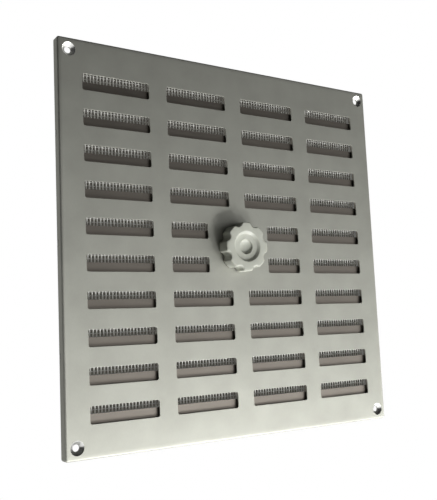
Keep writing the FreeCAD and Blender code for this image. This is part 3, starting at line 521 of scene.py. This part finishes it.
def insect_mesh():
    """Upright and level wires, each set one piece, woven through each other."""
    tree = weave_tree()
    for name, turn, seed, radius, wave in (("mesh_wires_upright", 0.0, 1.0, 0.40, 0.03),
                                           ("mesh_wires_level", math.pi, 7.0, 0.09, 0.40)):
        wires = grown_by_rule(name, bpy.data.meshes.new(name), tree, {
            "Wires": WIRES, "Steps": 2 * WIRES - 1, "Pitch": PITCH * MM, "Half pitch": PITCH / 2 * MM,
            "Start": -(WIRES - 1) * PITCH / 2 * MM, "Wire radius": radius * MM, "Wave": wave * MM,
            "Level": 2.55 * MM, "Short reach": 106.2 * MM, "Waver": 0.3 * MM, "Turn": turn, "Seed": seed})
        if turn:
            wires.data.transform(Matrix.Rotation(math.pi / 2, 4, "Y"))
        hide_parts("insect_mesh")
        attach(wires, "grille")


# Knob

KNOB_Z = -0.45
KNOB_BACK, KNOB_FRONT = -3.3, LOWEST[1]
KNOB_R, NOTCH_R, NOTCH_DEPTH, LOBE_ROUND, LOBES = 15.9, 3.3, 2.0, 1.3, 8
FRONT_ROUND, BACK_ROUND = 0.9, 0.4
RECESS_DEEP, DIMPLE_R, DIMPLE_DEEP = 1.6, 4.9, 2.1
HOLLOW_R, BOSS_R, HOLLOW_DEEP = 11.9, 7.0, 4.6
NUT_FLATS, NUT_DEEP, BORE_R, BORE_DEEP = 8.02, 4.02, 2.9, 4.8


def lobed_ring(inset, level, arc_steps=8):
    """The scalloped outline drawn in by an inset: lobe, rounded shoulder, notch, shoulder, eight times."""
    away = KNOB_R + NOTCH_R - NOTCH_DEPTH
    half = math.pi / LOBES
    to_round, to_notch = KNOB_R - LOBE_ROUND, NOTCH_R + LOBE_ROUND
    swing = math.acos((to_round ** 2 + away ** 2 - to_notch ** 2) / (2 * to_round * away))
    shoulder = half - swing
    centre = (to_round * math.cos(shoulder), to_round * math.sin(shoulder))
    notch = (away * math.cos(half), away * math.sin(half))
    facing = math.atan2(notch[1] - centre[1], notch[0] - centre[0])
    points = []

    def arc(middle, radius, begin, end, steps, base):
        for step in range(steps):
            angle = begin + (end - begin) * step / steps
            x, z = middle[0] + radius * math.cos(angle), middle[1] + radius * math.sin(angle)
            points.append((x * math.cos(base) - z * math.sin(base), level,
                           x * math.sin(base) + z * math.cos(base) + KNOB_Z))

    for lobe in range(LOBES):
        base = 2 * half * lobe
        arc((0, 0), KNOB_R - inset, -shoulder, shoulder, arc_steps, base)
        arc(centre, LOBE_ROUND - inset, shoulder, facing, arc_steps // 2, base)
        arc(notch, NOTCH_R + inset, math.pi + facing, math.pi + 2 * half - facing, arc_steps, base)
        far = (to_round * math.cos(2 * half - shoulder), to_round * math.sin(2 * half - shoulder))
        arc(far, LOBE_ROUND - inset, 2 * half - facing, 2 * half - shoulder, arc_steps // 2, base)
    return points


def knob():
    """The hand knob: scalloped wall with rounded rims, ring recess and dimple in front, hollow behind."""
    count = len(lobed_ring(0, 0))

    def round_ring(radius, level):
        start = -math.pi / LOBES * 0.4
        return [(radius * math.cos(start + math.tau * s / count), level,
                 radius * math.sin(start + math.tau * s / count) + KNOB_Z) for s in range(count)]

    def hexagon_ring(flats, level):
        ring = []
        for step in range(count):
            angle = math.tau * step / count
            reach = flats / 2 / math.cos((angle % (math.pi / 3)) - math.pi / 6)
            ring.append((reach * math.cos(angle), level, reach * math.sin(angle) + KNOB_Z))
        return ring

    floor = KNOB_FRONT + RECESS_DEEP
    rings = [round_ring(0.05, floor + DIMPLE_DEEP)]
    for step in range(1, 9):
        angle = math.radians(90 * step / 8)
        rings.append(round_ring(DIMPLE_R * math.sin(angle), floor + DIMPLE_DEEP * math.cos(angle)))
    # The dimple's round lip, the recess floor and its round foot, slope and round edge
    for radius, depth in ((DIMPLE_R + 0.35, 1.52), (8.2, RECESS_DEEP), (8.5, 1.42), (9.7, 0.18), (9.95, 0.04),
                          (10.3, 0.0)):
        rings.append(round_ring(radius, KNOB_FRONT + depth))
    for step in range(6):
        angle = math.radians(18 * step)
        rings.append(lobed_ring(FRONT_ROUND * (1 - math.sin(angle)),
                                KNOB_FRONT + FRONT_ROUND * (1 - math.cos(angle))))
    for step in range(4):
        angle = math.radians(30 * step)
        rings.append(lobed_ring(BACK_ROUND * (1 - math.cos(angle)),
                                KNOB_BACK - BACK_ROUND * (1 - math.sin(angle))))
    for radius, depth in ((HOLLOW_R, 0.0), (HOLLOW_R - 0.1, HOLLOW_DEEP), (BOSS_R + 0.1, HOLLOW_DEEP),
                          (BOSS_R, 0.0)):
        rings.append(round_ring(radius, KNOB_BACK - depth))
    rings.append(hexagon_ring(NUT_FLATS, KNOB_BACK))
    rings.append(hexagon_ring(NUT_FLATS, KNOB_BACK - NUT_DEEP))
    rings.append(round_ring(BORE_R, KNOB_BACK - NUT_DEEP))
    rings.append(round_ring(BORE_R, KNOB_BACK - BORE_DEEP))
    body = mesh_object("scalloped_knob", loft("scalloped_knob", rings))
    body.data.materials.append(KNOB_PLASTIC)
    shade_by_angle(body.data, 40)
    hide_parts("knob")
    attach(body, "clamp_knob")


face_plate()
insect_mesh()
knob()

for names, finish in ((("shutter_plate",), SHADED_SHUTTER_SHEET), (("guide_bush",), NYLON),
                      (("clamp_stud", "front_washer", "knob_nut"), ZINC),
                      (("right_guide", "left_guide", "mesh_strip_right", "mesh_strip_left", "mesh_strip_top",
                        "mesh_strip_bottom"), PLAIN_SHEET)):
    for name in names:
        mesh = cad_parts[name].data
        mesh.materials.clear()
        mesh.materials.append(finish)


# Camera, lamps and backdrop

# Painted shade: a flat dark for the shade inside the grille, seen through the slots behind the mesh.
PAINTED_INTERIOR_SHADE = linear("#45433e")
WHITE = (1.0, 1.0, 1.0, 1.0)


def aim(thing, place, forward, up):
    """Sets an object at a place, looking along its own -Z."""
    forward, up = Vector(forward).normalized(), Vector(up)
    right = forward.cross(up).normalized()
    up = right.cross(forward)
    turn = Matrix((right, up, -forward)).transposed()
    thing.matrix_world = Matrix.Translation(Vector(place) * MM) @ turn.to_4x4()


camera_data = bpy.data.cameras.new("camera")
camera_data.lens = 52.03
camera_data.sensor_width = 36.0
camera = bpy.data.objects.new("camera", camera_data)
bpy.context.scene.collection.objects.link(camera)
aim(camera, (-266.1, -387.1, -53.4), (0.5416, 0.8332, 0.1112), (-0.0234, -0.1173, 0.9928))
bpy.context.scene.camera = camera


def soft_lamp(name, place, size, power):
    """A square soft box that shines at the middle of the face."""
    data = bpy.data.lights.new(name, "AREA")
    data.shape = "SQUARE"
    data.size = size * MM
    data.energy = power
    lamp = bpy.data.objects.new(name, data)
    bpy.context.scene.collection.objects.link(lamp)
    aim(lamp, place, -Vector(place), (0.1, 0.2, 1.0))
    lamp.visible_camera = False


soft_lamp("key_below", place=(180, -500, -650), size=160, power=4.7)
soft_lamp("key_right", place=(405, -519, -500), size=100, power=2.6)
soft_lamp("glow_low_right", place=(720, -336, -423), size=260, power=1.6)


def studio_world():
    """A pale studio: white to the eye, dimmer overhead and brighter low down for what it lights."""
    world = bpy.data.worlds.new("studio")
    bpy.context.scene.world = world
    world.use_nodes = True
    tree = world.node_tree
    tree.nodes.clear()
    towards = node(tree, "ShaderNodeTexCoord").outputs["Generated"]
    height = node(tree, "ShaderNodeVectorMath", {0: towards, 1: (-0.34, 0.0, 1.0)}, operation="DOT_PRODUCT")
    front = node(tree, "ShaderNodeMapRange", {
        "Value": height.outputs["Value"], "From Min": -0.47, "From Max": 0.15,
        "To Min": 1.0, "To Max": 0.02}, interpolation_type="SMOOTHSTEP")
    parts = node(tree, "ShaderNodeSeparateXYZ", {0: towards})
    back = node(tree, "ShaderNodeMapRange", {
        "Value": parts.outputs["Y"], "From Min": 0.1, "From Max": 0.7,
        "To Min": 0.0, "To Max": 0.55}, interpolation_type="SMOOTHSTEP")
    fall = node(tree, "ShaderNodeMath", {0: front.outputs[0], 1: back.outputs[0]}, operation="MAXIMUM")
    path = node(tree, "ShaderNodeLightPath")
    room = node(tree, "ShaderNodeBackground", {"Color": WHITE, "Strength": fall.outputs[0]})
    # Painted shade: camera rays that have passed the clear film behind the mesh see a flat dark instead of the
    # white backdrop.
    dark = node(tree, "ShaderNodeBackground", {"Color": PAINTED_INTERIOR_SHADE, "Strength": 1.0})
    white = node(tree, "ShaderNodeBackground", {"Color": WHITE, "Strength": 1.0})
    behind = node(tree, "ShaderNodeMath", {0: path.outputs["Transparent Depth"], 1: 0.5},
                  operation="GREATER_THAN")
    seen = node(tree, "ShaderNodeMixShader", {0: behind.outputs[0], 1: white.outputs[0], 2: dark.outputs[0]})
    mixed = node(tree, "ShaderNodeMixShader", {0: path.outputs["Is Camera Ray"], 1: room.outputs[0],
                                               2: seen.outputs[0]})
    node(tree, "ShaderNodeOutputWorld", {0: mixed.outputs[0]})


studio_world()


def pale_floor():
    """A pale round floor well below the hung grille; it takes the shadow and fades into the backdrop."""
    disc = bmesh.new()
    bmesh.ops.create_circle(disc, cap_ends=True, segments=96, radius=1.6)
    mesh = bpy.data.meshes.new("floor")
    disc.to_mesh(mesh)
    disc.free()
    mesh.transform(Matrix.Translation((0, 0, -0.75)))
    made, tree, shader, place = new_material("pale_floor", Roughness=0.9, Base_Color=linear("#e6e6e4"))
    away = node(tree, "ShaderNodeVectorMath", {0: place}, operation="LENGTH")
    white = node(tree, "ShaderNodeMapRange", {
        "Value": away.outputs["Value"], "From Min": 0.85, "From Max": 1.3, "To Min": 0.85, "To Max": 1.0})
    path = node(tree, "ShaderNodeLightPath")
    bright = node(tree, "ShaderNodeEmission", {"Strength": white.outputs[0]})
    lit = node(tree, "ShaderNodeAddShader", {0: shader.outputs[0], 1: bright.outputs[0]})
    # Painted shade: camera rays that have passed the clear film behind the mesh see a flat dark instead of the
    # floor.
    behind = node(tree, "ShaderNodeMath", {0: path.outputs["Transparent Depth"], 1: 0.5},
                  operation="GREATER_THAN")
    dark = node(tree, "ShaderNodeEmission", {"Color": PAINTED_INTERIOR_SHADE, "Strength": 1.0})
    seen = node(tree, "ShaderNodeMixShader", {0: behind.outputs[0], 1: lit.outputs[0], 2: dark.outputs[0]})
    glossy = node(tree, "ShaderNodeMath", {
        0: path.outputs["Is Glossy Ray"], 1: path.outputs["Is Transmission Ray"]}, operation="ADD")
    mirrored = node(tree, "ShaderNodeMixShader", {
        0: glossy.outputs[0], 1: shader.outputs[0], 2: lit.outputs[0]})
    mixed = node(tree, "ShaderNodeMixShader", {0: path.outputs["Is Camera Ray"], 1: mirrored.outputs[0],
                                               2: seen.outputs[0]})
    output = next(item for item in tree.nodes if item.type == "OUTPUT_MATERIAL")
    tree.links.new(mixed.outputs[0], output.inputs[0])
    mesh.materials.append(made)
    mesh_object("floor", mesh)


def duct_film():
    """A clear stage film behind the mesh: whatever is seen through it shows painted shade, a flat dark that
    stands in for the shade inside the grille.
    """
    reach, notch, level = 118.0, 105.5, 3.3
    outline = [(-reach, -notch), (-notch, -notch), (-notch, -reach), (notch, -reach), (notch, -notch),
               (reach, -notch), (reach, notch), (notch, notch), (notch, reach), (-notch, reach),
               (-notch, notch), (-reach, notch)]
    sheet = bmesh.new()
    sheet.faces.new([sheet.verts.new((x * MM, level * MM, z * MM)) for x, z in outline])
    mesh = bpy.data.meshes.new("duct_film")
    sheet.to_mesh(mesh)
    sheet.free()
    made = bpy.data.materials.new("clear_film")
    made.use_nodes = True
    tree = made.node_tree
    tree.nodes.clear()
    clear = node(tree, "ShaderNodeBsdfTransparent")
    node(tree, "ShaderNodeOutputMaterial", {0: clear.outputs[0]})
    mesh.materials.append(made)
    mesh_object("duct_film", mesh)


pale_floor()
duct_film()

bpy.context.scene.view_settings.view_transform = "Standard"
